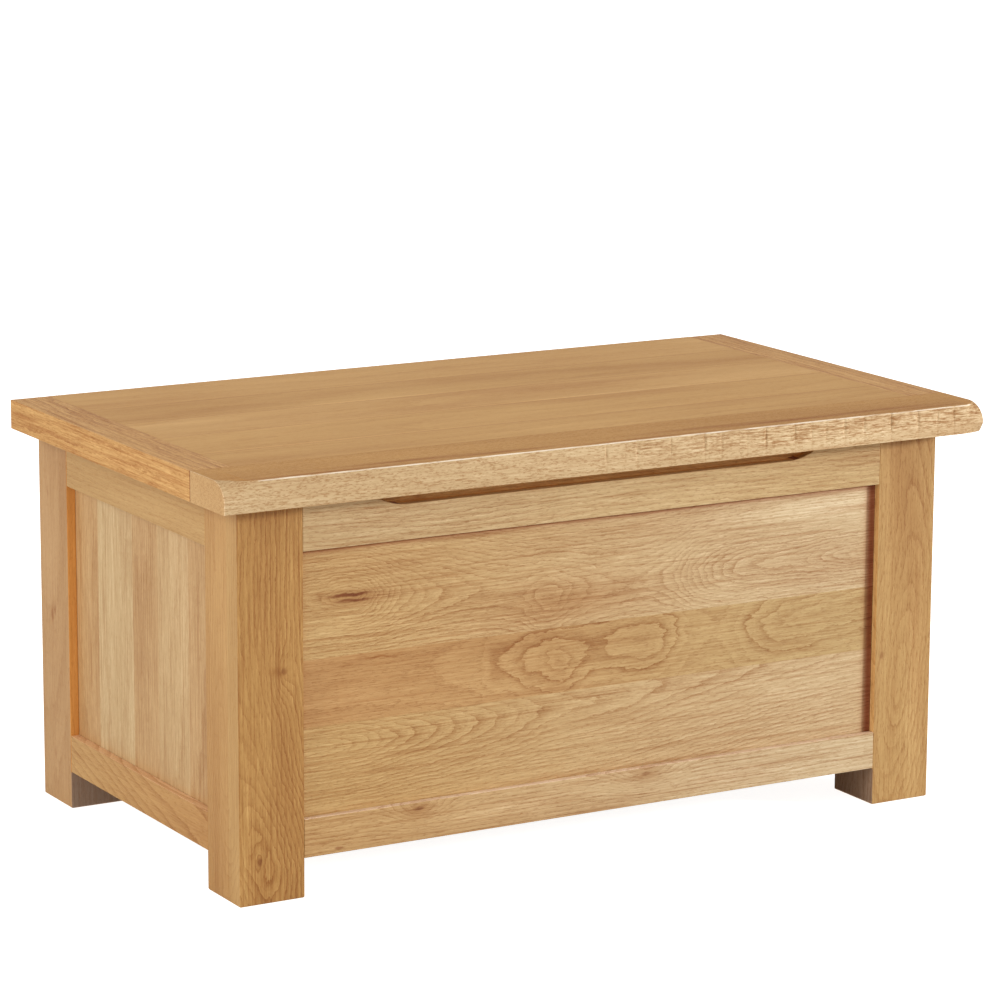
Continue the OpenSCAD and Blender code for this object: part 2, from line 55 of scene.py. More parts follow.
# What a mark multiplies the wood's linear red, green and blue by.
DARK_LINE = (0.66, 0.47, 0.32)     # dark growth lines, fibres and stains, and painted shade under the lid on the front legs
PORE = (0.66, 0.49, 0.34)          # open pores and torn fibres
KNOT = (0.48, 0.26, 0.17)          # the heart of a knot
SEAM_AND_SHADE = (0.62, 0.35, 0.26)         # dark seams at joints, and painted shade in the front panel's corners
PALE = (1.20, 1.28, 1.40)          # pale late wood, silky fibres and bleached streaks, and painted glints on the lid's seams


def rgba(levels):
    """Linear red, green and blue as RGBA."""
    return (*levels, 1.0)


def linear(colour):
    """An 8-bit sRGB colour as the linear RGBA that shaders use."""
    def channel(value):
        share = value / 255
        return share / 12.92 if share <= 0.04045 else ((share + 0.055) / 1.055) ** 2.4
    return rgba([channel(value) for value in colour])


# ---------------------------------------------------------------- shader arithmetic


class Value:
    """An output of a shader node that Python arithmetic can combine."""

    def __init__(self, graph, socket):
        self.graph = graph
        self.socket = socket

    def __add__(self, other):
        return self.graph.math("ADD", self, other)

    def __sub__(self, other):
        return self.graph.math("SUBTRACT", self, other)

    def __rsub__(self, other):
        return self.graph.math("SUBTRACT", other, self)

    def __mul__(self, other):
        return self.graph.math("MULTIPLY", self, other)

    def __truediv__(self, other):
        return self.graph.math("DIVIDE", self, other)

    __rmul__ = __mul__


class Graph:
    """One material's node tree, with a method for each kind of node the finishes need."""

    def __init__(self, name):
        self.material = bpy.data.materials.new(name)
        self.material.use_nodes = True
        self.tree = self.material.node_tree
        self.tree.nodes.clear()

    def put(self, socket, value):
        if isinstance(value, Value):
            self.tree.links.new(value.socket, socket)
        else:
            socket.default_value = value

    def node(self, kind, inputs, **settings):
        made = self.tree.nodes.new("ShaderNode" + kind)
        for key, value in settings.items():
            setattr(made, key, value)
        for key, value in inputs.items():
            self.put(made.inputs[key], value)
        return made

    def object_place(self):
        """The place on the object, in metres of the part's frame."""
        return Value(self, self.node("TexCoord", {}).outputs["Object"])

    def math(self, operation, first, second=0.0):
        made = self.node("Math", {0: first, 1: second}, operation=operation)
        return Value(self, made.outputs[0])

    def bell(self, squared):
        """A smooth hill of height 1, from the squared distance in spreads."""
        return self.math("POWER", 1 / math.e, squared)

    def vector(self, x, y, z):
        made = self.node("CombineXYZ", {0: x, 1: y, 2: z})
        return Value(self, made.outputs[0])

    def mapped(self, at, scale, offset):
        made = self.node("Mapping", {"Vector": at, "Scale": scale, "Location": offset})
        return Value(self, made.outputs[0])

    def noise(self, at, scale, offset, detail=2.0, roughness=0.5):
        """Noise around 0.5, stretched by a scale for each axis, in features to the metre."""
        inputs = {
            "Vector": self.mapped(at, scale, offset),
            "Scale": 1.0,
            "Detail": detail,
            "Roughness": roughness,
        }
        made = self.node("TexNoise", inputs, noise_dimensions="3D")
        return Value(self, made.outputs["Fac"])

    def random_of(self, number):
        """A random number from 0 to 1 for each whole number."""
        made = self.node("TexWhiteNoise", {"W": number}, noise_dimensions="1D")
        return Value(self, made.outputs["Value"])

    def between(self, value, low, high, from_low=0.0, from_high=1.0):
        """The value rescaled smoothly from one range to another, and held at its ends."""
        inputs = {"Value": value, "From Min": from_low, "From Max": from_high, "To Min": low, "To Max": high}
        made = self.node("MapRange", inputs, interpolation_type="SMOOTHSTEP", clamp=True)
        return Value(self, made.outputs[0])

    def ramp(self, value, stops, interpolation="LINEAR"):
        """A colour ramp through stops, each (position, red, green, blue)."""
        made = self.node("ValToRGB", {"Fac": value})
        made.color_ramp.interpolation = interpolation
        points = made.color_ramp.elements
        while len(points) < len(stops):
            points.new(0.5)
        for point, (position, *levels) in zip(points, stops):
            point.position = position
            point.color = rgba(levels)
        return Value(self, made.outputs["Color"])

    def curve(self, value, stops):
        """A value read off straight lines between stops, each (position, level)."""
        return self.ramp(value, [(position, level, level, level) for position, level in stops])

    def mix(self, amount, first, second, blend="MIX"):
        made = self.tree.nodes.new("ShaderNodeMix")
        made.data_type = "RGBA"
        made.blend_type = blend
        self.put(made.inputs[0], amount)
        self.put(made.inputs[6], first)
        self.put(made.inputs[7], second)
        return Value(self, made.outputs[2])

    def tint(self, amount, colour, factors):
        """The colour multiplied by factors, by an amount from 0 to 1."""
        return self.mix(amount, colour, rgba(factors), "MULTIPLY")

    def finish(self, colour, roughness, height, depth, metallic=0.0, **constants):
        """Ends the tree in a Principled shader with a bump of the given depth in metres."""
        bump = self.node("Bump", {"Strength": 1.0, "Distance": depth, "Height": height})
        inputs = {"Base Color": colour, "Roughness": roughness, "Metallic": metallic}
        shader = self.node("BsdfPrincipled", inputs)
        for key, value in constants.items():
            shader.inputs[key.replace("_", " ")].default_value = value
        self.tree.links.new(bump.outputs["Normal"], shader.inputs["Normal"])
        out = self.tree.nodes.new("ShaderNodeOutputMaterial")
        self.tree.links.new(shader.outputs[0], out.inputs["Surface"])
        return self.material


# ---------------------------------------------------------------- oak


HEART_REACH = 100        # the millimetres that a colour ramp's 0 to 1 stands for in a pith laid out by stops
GRAIN_DEPTH = 0.1 * MM   # the bump's depth, for pores and growth lines


class Board:
    """Places in one oak board, and noises from its own part of its own tree."""

    def __init__(self, graph, low, high, grain, face, seed):
        across = [axis for axis in "xyz" if axis not in (grain, face)][0]
        order = ["xyz".index(axis) for axis in (grain, across, face)]
        self.graph = graph
        self.dice = random.Random(seed)
        self.low = [low[axis] for axis in order]
        self.high = [high[axis] for axis in order]
        self.middle = [(start + end) / 2 for start, end in zip(self.low, self.high)]
        split = graph.node("SeparateXYZ", {0: graph.object_place()})
        self.place = {axis: Value(graph, output) for axis, output in zip("xyz", split.outputs)}
        self.along, self.across, self.into = self.place[grain], self.place[across], self.place[face]
        self.at = graph.vector(self.along, self.across, self.into)

    def noise(self, scale, **settings):
        """Noise stretched by a scale along, across and into the board, in features to the metre."""
        offset = tuple(self.dice.uniform(-40, 40) for _ in range(3))
        return self.graph.noise(self.at, scale, offset, **settings)

    def roughen(self, jag):
        """Sets u and v, the places along and across with the small shake that drawn lines have."""
        shake = self.noise((24, 95, 40), detail=4.0, roughness=0.7) - 0.5
        tremble = self.noise((34, 70, 40), detail=4.0, roughness=0.7) - 0.5
        self.u = self.along + shake * (3 * jag * MM)
        self.v = self.across + tremble * (1.6 * jag * MM)

    def spot(self, place_u, place_v, spread_u, spread_v):
        """A soft spot of height 1, placed and sized along and across the board."""
        du = (self.u - place_u * MM) / (spread_u * MM)
        dv = (self.v - place_v * MM) / (spread_v * MM)
        return self.graph.bell(du * du + dv * dv)

    def inside(self, slab):
        """1 inside a slab, {axis: (low, high)}, and 0 outside it."""
        within = 1.0
        for axis, (low, high) in slab.items():
            above = self.graph.math("GREATER_THAN", self.place[axis], low * MM)
            below = self.graph.math("LESS_THAN", self.place[axis], high * MM)
            within = above * below * within
        return within

    def beside(self, axis, place, spread):
        """1 at a place on an axis, fading to both sides of it."""
        away = (self.place[axis] - place * MM) / (spread * MM)
        return self.graph.bell(away * away)

    def follow_heart(self, heart):
        """The place across and the depth of a pith laid through (along, across, depth) stops."""
        g = self.graph
        first, last, side = heart[0][0], heart[-1][0], heart[0][1]
        share = (self.u - first * MM) / ((last - first) * MM)
        stops = [((u - first) / (last - first), 0.5 + (v - side) / HEART_REACH, depth / HEART_REACH, 0.0)
                 for u, v, depth in heart]
        split = g.node("SeparateColor", {0: g.ramp(share, stops, "CARDINAL")})
        place = (Value(g, split.outputs[0]) - 0.5) * (HEART_REACH * MM) + side * MM
        depth = Value(g, split.outputs[1]) * (HEART_REACH * MM)
        return place, depth

    def from_pith(self, pith, lean, heart, wander, jag):
        """The distance from a pith that leans and wanders along the board."""
        drift = (self.noise((2.6, 5.0, 5.0), detail=1.0) - 0.5) * (wander * MM * 2)
        sway = (self.noise((2.6, 5.0, 5.0), detail=1.0) - 0.5) * (wander * MM * 2)
        self.roughen(jag)
        if heart:
            place, depth = self.follow_heart(heart)
            a = self.v - place + drift
            d = self.into - self.low[2] - depth
        else:
            from_middle = self.along - self.middle[0]
            a = self.across - (self.middle[1] + pith[0] * MM) + from_middle * lean[0] + drift
            d = self.into - (self.middle[2] + pith[1] * MM) + from_middle * lean[1] + sway
        return self.graph.math("SQRT", a * a + d * d)


def growth_lines(board, growth, ripple, radius, plain):
    """Each year's dark edge, that edge faded in places, the pale wood before it, and finer lines."""
    g = board.graph
    year = g.math("FLOOR", growth)
    phase = growth - year
    edge = g.curve(phase, [(0.0, 1.0), (0.10, 0.72), (0.30, 0.26), (0.60, 0.04), (0.95, 0.0), (1.0, 0.9)])
    strength = g.between(g.random_of(year), 0.35, 1.0)
    fade = g.between(board.noise((5, 30, 30)), 0.35, 1.15, 0.3, 0.7)
    if plain:
        fade = fade * g.between(radius, 1.0, 0.25, (plain - 4) * MM, (plain + 3) * MM)
    rise = g.curve(phase, [(0.0, 0.0), (0.35, 0.1), (0.85, 1.0), (0.97, 0.8), (1.0, 0.0)])
    small = growth * 3.7 + ripple * 1.5
    small_phase = small - g.math("FLOOR", small)
    small_edge = g.curve(small_phase, [(0.0, 1.0), (0.25, 0.45), (0.6, 0.0), (1.0, 0.85)])
    return edge, edge * strength * fade, rise, small_edge * fade


def paint_marks(board, colour, hatch, streaks, knots, corners):
    """The colour with torn fibres, stains and painted shade, bleached streaks and painted glints, knots, and
    dark seams and painted shade beside corners.
    """
    g = board.graph
    for slab, amount in hatch:
        dash = board.noise((62, 160, 600), roughness=0.55)
        torn = board.inside(slab) * amount
        colour = g.tint(g.between(dash, 0.0, 1.0, 0.5, 0.6) * torn, colour, PORE)
        colour = g.tint(g.between(dash, 1.0, 0.0, 0.4, 0.5) * torn, colour, PALE)
    for *spot, amount in streaks:
        colour = g.tint(board.spot(*spot) * abs(amount), colour, DARK_LINE if amount > 0 else PALE)
    for *spot, amount in knots:
        colour = g.tint(g.between(board.spot(*spot), 0.0, amount, 0.15, 0.85), colour, KNOT)
    for axis, place, spread, amount in corners:
        colour = g.tint(board.beside(axis, place, spread) * amount, colour, SEAM_AND_SHADE)
    return colour


# Pale rubbed wood with a painted highlight, for the hewn strip's top arris.
ARRIS_WEAR_AND_HIGHLIGHT = (244, 230, 208)


def oak(name, corner_low, corner_high, grain, face, tone, seed, far_tone=None, ring=5.0, pith=(25, 90),
        lean=(0.01, 0.03), heart=(), wander=14, line=0.5, fine=0.35, fibre=0.5, pores=0.5, hills=(), knots=(),
        layers=(), streaks=(), corners=(), roughness=0.46, wobble=1.0, jag=4.0, plain=None,
        pore_size=(140, 860), pore_level=(0.55, 0.68), quiet=(), hatch=(), arris=None):
    """Oak for one board, cut from its own place in its own tree.

    tone and far_tone are the colours at the low and high end of its grain axis: the wood's own, and on
    the front boards and front bottom rail a paler far end that is partly a painted sheen. line, fine,
    fibre and pores are how strongly the growth lines, the finer lines between them, the fibres and the
    pores show. pore_size is the pores' number to the metre along and across, and pore_level the noise
    levels where a pore starts and is full.
    ring is the growth ring's width and pith the heart's distance across and into the board from its
    middle. lean is how much the pith slopes across and into the wood, and wander how far it strays.
    heart lays the pith out instead, as listed stops of (place along, place across, depth from the
    board's low side on the face axis): where it comes near the face the rings close in ovals, and where
    it dives they point along it. wobble is how uneven the rings are, jag how shaky the lines and marks,
    and beyond plain from the pith the lines are weak. hills raise the growth field, streaks stain it or
    lay a painted shade (or bleach it or lay a painted glint, where the amount is below zero) and knots
    are dark: all are (place along, place across, spread along, spread across, amount). corners darken
    the wood beside a place on an axis, as dark seams at joints and as painted shade in recesses:
    (axis, place, spread, amount).
    Slabs are {axis: (low, high)}: layers give them another tone, in quiet ones the figure is weaker by
    a share, in hatch ones torn fibres leave short light and dark dashes, and arris is the slab where a
    painted highlight, with pale rubbed wood, runs along an arris.
    """
    g = Graph(name)
    board = Board(g, corner_low, corner_high, grain, face, seed)
    radius = board.from_pith(pith, lean, heart, wander, jag)
    ripple = board.noise((30, 75, 75), detail=4.0, roughness=0.68) - 0.5
    growth = radius / (ring * MM) + ripple * wobble
    for *spot, height in hills:
        growth = growth + board.spot(*spot) * height
    edge, dark, rise, small = growth_lines(board, growth, ripple, radius, plain)

    # Fibre and pores run straight along the grain.
    streak = board.noise((9, 420, 420), detail=3.0, roughness=0.65)
    silk = board.noise((34, 620, 620), detail=3.0, roughness=0.7)
    pore_field = board.noise((pore_size[0], pore_size[1], pore_size[1]), roughness=0.6)
    pore = g.between(pore_field + edge * 0.06, 0.0, 1.0, *pore_level)
    cloud = board.noise((2.4, 16, 16), roughness=0.55)

    share = g.between(board.along, 0.0, 1.0, board.low[0], board.high[0]) if far_tone else 0.0
    colour = g.mix(share, linear(tone), linear(far_tone or tone))
    for slab, layer_tone in layers:
        colour = g.mix(board.inside(slab), colour, linear(layer_tone))
    for slab, calmer in quiet:
        calm = 1 - board.inside(slab) * calmer
        line, fine, fibre, pores = [amount * calm for amount in (line, fine, fibre, pores)]
    colour = g.tint(dark * line, colour, DARK_LINE)
    colour = g.tint(small * (fine * 0.5), colour, DARK_LINE)
    colour = g.tint(rise * (line * 0.3), colour, PALE)
    colour = g.tint(g.between(streak, 0.0, 1.0, 0.42, 0.72) * (fibre * 0.55), colour, DARK_LINE)
    colour = g.tint(g.between(silk, 1.0, 0.0, 0.30, 0.55) * (fibre * 0.75), colour, PALE)
    colour = g.tint(g.between(cloud, 0.0, 1.0, 0.5, 0.75) * 0.32, colour, DARK_LINE)
    colour = g.tint(g.between(cloud, 1.0, 0.0, 0.28, 0.5) * 0.45, colour, PALE)
    colour = g.tint(pore * pores, colour, PORE)
    colour = paint_marks(board, colour, hatch, streaks, knots, corners)
    # The arris slab takes pale rubbed wood and a painted highlight.
    if arris:
        worn = board.inside(arris) * g.between(silk, 0.1, 0.85, 0.35, 0.55)
        colour = g.mix(worn, colour, linear(ARRIS_WEAR_AND_HIGHLIGHT))

    # Satin lacquer: pores stay open, and the soft early wood is a little lower.
    height = 0.0 - pore * 0.8 - dark * 0.35 + streak * 0.35 + silk * 0.15
    shine = g.between(pore * 0.6 + streak * 0.5, roughness, roughness + 0.14)
    return g.finish(colour, shine, height, GRAIN_DEPTH, Specular_IOR_Level=0.25)


def dress(node, material):
    """Gives a CAD node its finish."""
    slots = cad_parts[node].data.materials
    slots.clear()
    slots.append(material)


WELD_REACH = 0.01 * MM
SHARP = math.radians(35)     # edges that turn by more than this are arrises


def ease(node, width):
    """Breaks the sharp arrises of a CAD node, as sandpaper does."""
    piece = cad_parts[node]
    weld = piece.modifiers.new("join_corners", "WELD")
    weld.merge_threshold = WELD_REACH
    bevel = piece.modifiers.new("eased_arrises", "BEVEL")
    bevel.width = width
    bevel.segments = 2
    bevel.limit_method = "ANGLE"
    bevel.angle_limit = SHARP
    bevel.use_clamp_overlap = False


def oak_board(node, grain, face, tone, seed, eased=0.0, **look):
    """One oak CAD node with its own wood and its eased arrises."""
    low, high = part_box(node)
    dress(node, oak("oak_" + node, low, high, grain, face, tone, seed, **look))
    if eased:
        ease(node, eased)


# ---------------------------------------------------------------- carcass


LEG_EASE = 1.4 * MM
RAIL_EASE = 0.7 * MM
UNDER_RAILS = (-1, 40)       # from the floor to the bottom rails, where the legs' inner faces take a painted shade
RAIL_LEDGE = (80.7, 82)      # the bottom rails' top faces and top arrises, painted pale as a highlight


def finish_front_left_leg():
    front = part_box("leg_front_left")[0].y / MM
    oak_board("leg_front_left", "z", "y", (180, 135, 76), 11, LEG_EASE, ring=4.2, line=0.8, fibre=1.2,
              pores=0.4, wander=5,
              heart=((0, -384, 30), (44, -393, 22), (120, -411, 32), (200, -424, 40), (300, -434, 42),
                     (408, -438, 40)),
              knots=((44, -395, 5, 3, 0.7), (236, -367, 4, 4, 0.5)),
              hills=((236, -367, 22, 10, 2.5), (44, -395, 18, 7, 2)),
              # The streak 398 mm up, just under the lid's front edge, is painted shade from the lid.
              streaks=((96, -408, 60, 2.5, -0.8), (236, -376, 5, 10, 0.5), (398, -381, 7, 60, 0.45)),
              layers=(({"y": (front + 1, front + 24)}, (187, 146, 91)),
                      ({"y": (front + 24, front + 80)}, (186, 142, 87))),
              quiet=(({"y": (front + 1, front + 80)}, 0.55),))


def finish_front_right_leg():
    inner_face = (344, 345.2)
    oak_board("leg_front_right", "z", "y", (190, 151, 95), 12, LEG_EASE, ring=5.0, line=0.5, fibre=0.7,
              wander=5,
              heart=((0, 360, 30), (90, 372, 14), (150, 378, 8), (230, 388, 18), (300, 392, 26),
                     (408, 384, 34)),
              knots=((166, 353, 5, 2.5, 0.5),),
              # The streak 398 mm up, just under the lid's front edge, is painted shade from the lid.
              streaks=((110, 398, 130, 11, -0.9), (345, 372, 110, 22, 0.5), (398, 381, 6, 60, 0.45)),
              # Painted light and shade on the inner face beside the panel: a glow of bounce light at its
              # front, and grey shade below the bottom rail.
              layers=(({"x": inner_face, "y": (-221, -211)}, (236, 188, 120)),
                      ({"x": inner_face, "z": UNDER_RAILS}, (172, 142, 118))))


def finish_back_legs():
    inner_face = (180, 186.2)
    oak_board("leg_back_left", "z", "x", (184, 143, 96), 13, LEG_EASE, ring=5.5, pith=(20, 120), line=0.3,
              fibre=0.5, pores=0.25,
              # Painted light and shade on the front face behind the side panel: an orange glow of bounce
              # light above the bottom rail, and grey shade below it.
              layers=(({"y": inner_face, "x": (-420, -400), "z": (41, 408)}, (226, 160, 84)),
                      ({"y": inner_face, "z": UNDER_RAILS}, (170, 142, 120))),
              streaks=((206, 229, 9, 2.5, 0.9), (212, 222, 5, 2, 0.9), (340, 236, 6, 1.5, 0.5),
                       (52, 226, 7, 1.5, 0.6)))
    # Painted light: paler than the front's tones, to lift the shade on the chest's back.
    oak_board("leg_back_right", "z", "x", (201, 159, 109), 14, LEG_EASE, ring=5.0, pith=(40, -80), line=0.4)


# Painted light and shade in the finger scoop: its back wall painted as a lit, orange glow and its floor as
# shade under the lid.
SCOOP_WALL_PAINTED_GLOW = (214, 164, 98)
SCOOP_FLOOR_PAINTED_SHADE = (146, 98, 82)


def finish_front_rails():
    scoop_wall = {"y": (-212, -206)}
    scoop_floor = {"y": (-219.5, -207.5), "z": (391, 392.2)}
    oak_board("front_top_rail", "x", "y", (197, 167, 121), 21, RAIL_EASE, far_tone=(199, 168, 118),
              ring=4.0, line=0.5, fine=0.6, fibre=1.1, pores=0.5, wobble=1.2,
              layers=((scoop_wall, SCOOP_WALL_PAINTED_GLOW), (scoop_floor, SCOOP_FLOOR_PAINTED_SHADE)),
              heart=((-350, 330, 20), (-200, 332, 42), (60, 334, 30), (350, 328, 44)),
              streaks=((-210, 395, 6, 5, 0.5),))
    # The paler far tone is partly the wood and partly a painted sheen of the key light on the right.
    oak_board("front_bottom_rail", "x", "y", (194, 156, 104), 22, RAIL_EASE, far_tone=(208, 184, 145),
              ring=4.5, pith=(-110, 20), line=0.75, fine=0.7, fibre=1.1, pores=0.5,
              # The pale ledge is a painted highlight along the rail's top arris.
              layers=(({"z": RAIL_LEDGE}, (232, 206, 176)),),
              knots=((-214, 74, 6, 2, 0.5), (55, 74, 7, 2, 0.45), (-306, 46, 6, 1.5, 0.7)),
              streaks=((-214, 73, 20, 8, 0.6), (55, 74, 24, 9, 0.6), (-120, 60, 60, 8, -0.6),
                       (170, 58, 80, 8, -0.5)),
              hills=((-214, 72, 34, 18, 5), (55, 74, 44, 18, 5)))


def finish_side_rails():
    oak_board("left_top_rail", "y", "x", (187, 148, 94), 23, RAIL_EASE, ring=6.0, pith=(-140, 40),
              line=0.25, pores=0.25)
    oak_board("left_bottom_rail", "y", "x", (186, 139, 83), 24, RAIL_EASE, far_tone=(194, 152, 95),
              ring=9.0, pith=(60, 40), line=0.65, lean=(-0.38, 0.05), pores=0.3, wobble=0.6,
              # The pale ledge is a painted highlight along the rail's top arris.
              layers=(({"z": RAIL_LEDGE}, (224, 180, 132)),))
    oak_board("right_top_rail", "y", "x", (195, 154, 107), 25, RAIL_EASE, pith=(120, -40), line=0.35)
    oak_board("right_bottom_rail", "y", "x", (194, 152, 104), 26, RAIL_EASE, ring=6.0, pith=(-70, -60),
              line=0.4)


def finish_back_rails():
    # Painted light: the back's tones are paler than the front's, to lift the shade on the chest's back.
    oak_board("back_top_rail", "x", "y", (202, 162, 112), 27, RAIL_EASE, pith=(100, 30), line=0.35)
    oak_board("back_bottom_rail", "x", "y", (200, 159, 109), 28, RAIL_EASE, ring=6.0, pith=(-90, 60),
              line=0.4)


# Painted shade on the front panel's edges: the top rail's cast shadow under it, the right leg's cast shadow
# by it and shade by the left leg.
PANEL_PAINTED_SHADE = (("z", 354, 5, 1.0), ("z", 354, 3, 0.6), ("x", 341, 7, 1.0), ("x", 342, 6, 0.8),
                 ("x", -346, 4, 0.4))


# The front boards' paler far tones are partly the wood and partly a painted sheen of the key light on the
# right.
def finish_upper_board():
    """A split knot, then the eye and the nested points that lead to it."""
    oak_board("front_board_upper", "x", "y", (198, 162, 108), 31, far_tone=(207, 181, 140), ring=3.1,
              heart=((-350, 300, 14), (-315, 301, 8), (-290, 301, 2), (-262, 300, 16), (-240, 298, 28),
                     (-205, 296, 37), (-150, 292, 43), (-90, 282, 44), (-61, 277, 38), (-34, 279, 43),
                     (0, 280, 48), (60, 281, 49), (98, 281, 42), (112, 281, 35), (135, 281, 26),
                     (172, 282, 17), (255, 282, 13), (300, 282, 5), (350, 281, 0)),
              wander=3, line=0.75, fine=0.5, fibre=1.2, wobble=1.3, jag=5, pores=0.45,
              knots=((-288, 303, 26, 2.2, 1.0), (-284, 297, 24, 1.6, 0.9)),
              streaks=((-288, 300, 42, 8, 0.7), (260, 334, 150, 10, -0.6), (-322, 306, 5, 3, 0.6),
                       (-40, 268, 120, 26, 0.7), (-280, 340, 90, 14, -0.4)),
              corners=PANEL_PAINTED_SHADE)


def finish_middle_board():
    """Closed rings like the contours of a map."""
    oak_board("front_board_middle", "x", "y", (186, 141, 89), 32, far_tone=(190, 159, 108), ring=11,
              heart=((-350, 220, 58), (-200, 217, 56), (-140, 213, 46), (-128, 213, 34), (-104, 212, 30),
                     (-88, 210, 21), (-66, 210, 14), (-48, 207, 2), (-36, 207, 9), (-22, 212, 18),
                     (-4, 216, 23), (14, 217, 20), (44, 216, 14), (66, 216, 14), (84, 217, 24),
                     (98, 220, 34), (112, 219, 46), (150, 215, 54), (180, 213, 36), (203, 213, 24),
                     (226, 215, 12), (280, 221, 4), (350, 232, 2)),
              wander=1, line=0.95, fine=0.45, fibre=0.9, wobble=0.9, jag=9, plain=37, pores=0.45,
              streaks=((-255, 236, 26, 2.0, 1.0), (-292, 232, 14, 1.5, 0.6), (-60, 176, 60, 4, 0.4)),
              corners=PANEL_PAINTED_SHADE)


def finish_lower_board():
    """Chevrons along a pith that dives to the right."""
    oak_board("front_board_lower", "x", "y", (193, 156, 101), 33, far_tone=(203, 175, 133), ring=3.4,
              heart=((-350, 150, 2), (-250, 152, 18), (-84, 156, 42), (60, 164, 50), (200, 182, 56),
                     (350, 196, 62)),
              wander=3, line=0.75, fine=0.5, fibre=1.15, pores=0.45, corners=PANEL_PAINTED_SHADE)


def finish_back_panel():
    # Painted light: the back's tones are paler than the front's, to lift the shade on the chest's back.
    oak_board("back_panel", "x", "y", (206, 167, 118), 34, ring=9.0, pith=(30, 26), lean=(0.02, 0.03),
              line=0.45, fine=0.6)


def finish_side_staves():
    """Five staves on each side, from the front to the back."""
    left_tones = ((190, 152, 104), (197, 164, 117), (193, 156, 108), (200, 170, 124), (191, 152, 103))
    for number, tone in enumerate(left_tones, start=1):
        oak_board(f"left_stave_{number}", "z", "x", tone, 40 + number, ring=8.0,
                  pith=(60 - 20 * number, 140), line=0.35, fine=0.4, fibre=1.1, wander=10, pores=0.2)
        oak_board(f"right_stave_{number}", "z", "x", tone, 50 + number, ring=7.0,
                  pith=(30 * number - 80, -60), line=0.4, fine=0.4, fibre=0.7)


# ---------------------------------------------------------------- lid


def finish_lid_staves():
    """Five quiet boards, with a fine dark seam at each joint and painted glints along parts of the seams."""
    tones = ((202, 157, 99), (198, 153, 95), (202, 157, 99), (200, 155, 96), (199, 154, 95))
    for number, tone in enumerate(tones, start=1):
        low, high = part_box(f"lid_stave_{number}")
        oak_board(f"lid_stave_{number}", "x", "z", tone, 60 + number, ring=11,
                  pith=(70 - 25 * number, 120), line=0.18, fine=0.2, fibre=0.3, pores=0.15, wander=16,
                  roughness=0.62,
                  corners=(("y", low.y / MM, 0.45, 0.9), ("y", high.y / MM, 0.45, 0.9)),
                  # The pale streaks are painted glints along the seams between the staves.
                  streaks=((-280, -112, 140, 2.4, -1.0), (60, -17, 200, 2.2, -0.8),
                           (-120, 71, 160, 2.2, -0.7)))


def finish_lid_cleats():
    """A board across each end of the lid, with a dark seam where it meets the front strip."""
    for seed, side in enumerate(("left", "right"), start=70):
        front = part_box(f"lid_cleat_{side}")[0].y / MM
        oak_board(f"lid_cleat_{side}", "y", "z", (199, 151, 89), seed, RAIL_EASE, ring=7, pith=(50, -40),
                  line=0.8, fine=0.8, fibre=1.4, wobble=1.4, pores=0.4, roughness=0.5,
                  corners=(("y", front, 0.8, 1.0),))


# The hewn strip: (place along the lid, setback of the top arris, roundness), all in millimetres but the
# roundness, which is 1 for a flat chamfer and 2 for an ellipse.
HEWN = ((-450, 26, 2.0), (-440, 17, 1.9), (-430, 8, 1.8), (-420, 3.5, 1.6), (-402, 1.6, 1.4),
        (-300, 1.2, 1.3), (-60, 1.0, 1.3), (120, 1.0, 1.3), (300, 1.2, 1.4), (428, 1.6, 1.5), (437, 5, 1.7),
        (444, 13, 1.9), (450, 26, 2.0))
FACE_DROP = 21 * MM          # how far down the hewing reaches
FACE_POINTS = 14             # faces of each ring from the top arris down to there
LOWER_SHARES = (0.35, 0.7)   # rows of points between there and the strip's lower edge
RIGHT_TUCK = 6 * MM          # how far the strip's lower edge tucks in at its right end
TUCK_LENGTH = 0.03
END_LENGTH = 0.012           # the tool marks die away over this length at each end
LOWER_SETBACK = 0.5 * MM
HEWN_STEP = 1.0 * MM
CRISP = math.radians(32)     # edges that turn by more than this stay crisp


def hewn_shape(x):
    """The arris setback in metres and the roundness at a place along the strip."""
    place = x / MM
    for (x0, set0, round0), (x1, set1, round1) in zip(HEWN, HEWN[1:]):
        if place <= x1:
            share = max(0.0, (place - x0) / (x1 - x0))
            share = share * share * (3 - 2 * share)
            return (set0 + (set1 - set0) * share) * MM, round0 + (round1 - round0) * share
    return HEWN[-1][1] * MM, HEWN[-1][2]


def saw_marks(end):
    """(place, width, depth) of each saw mark, every 18 to 42 mm on the right half, up to its end."""
    dice = random.Random(5)
    marks = []
    place = -0.02
    while place < end - 0.01:
        rougher = 0.9 + place / end * 0.4
        marks.append((place, dice.uniform(0.9, 1.8) * MM, dice.uniform(0.5, 1.1) * MM * rougher))
        place += dice.uniform(0.018, 0.042)
    return marks


def tool_depth(x, z, marks):
    """How deep adze and saw went in at a place on the hewn face, in metres."""
    wave = math.sin(x * 61 + 0.6) * 0.3 + math.sin(x * 143 + z * 160) * 0.2 + math.sin(x * 23 + 2.0) * 0.5
    depth = (0.5 + 0.5 * wave) * 0.9 * MM
    for place, width, cut in marks:
        depth += cut * math.exp(-((x - place) / width) ** 2)
    return depth


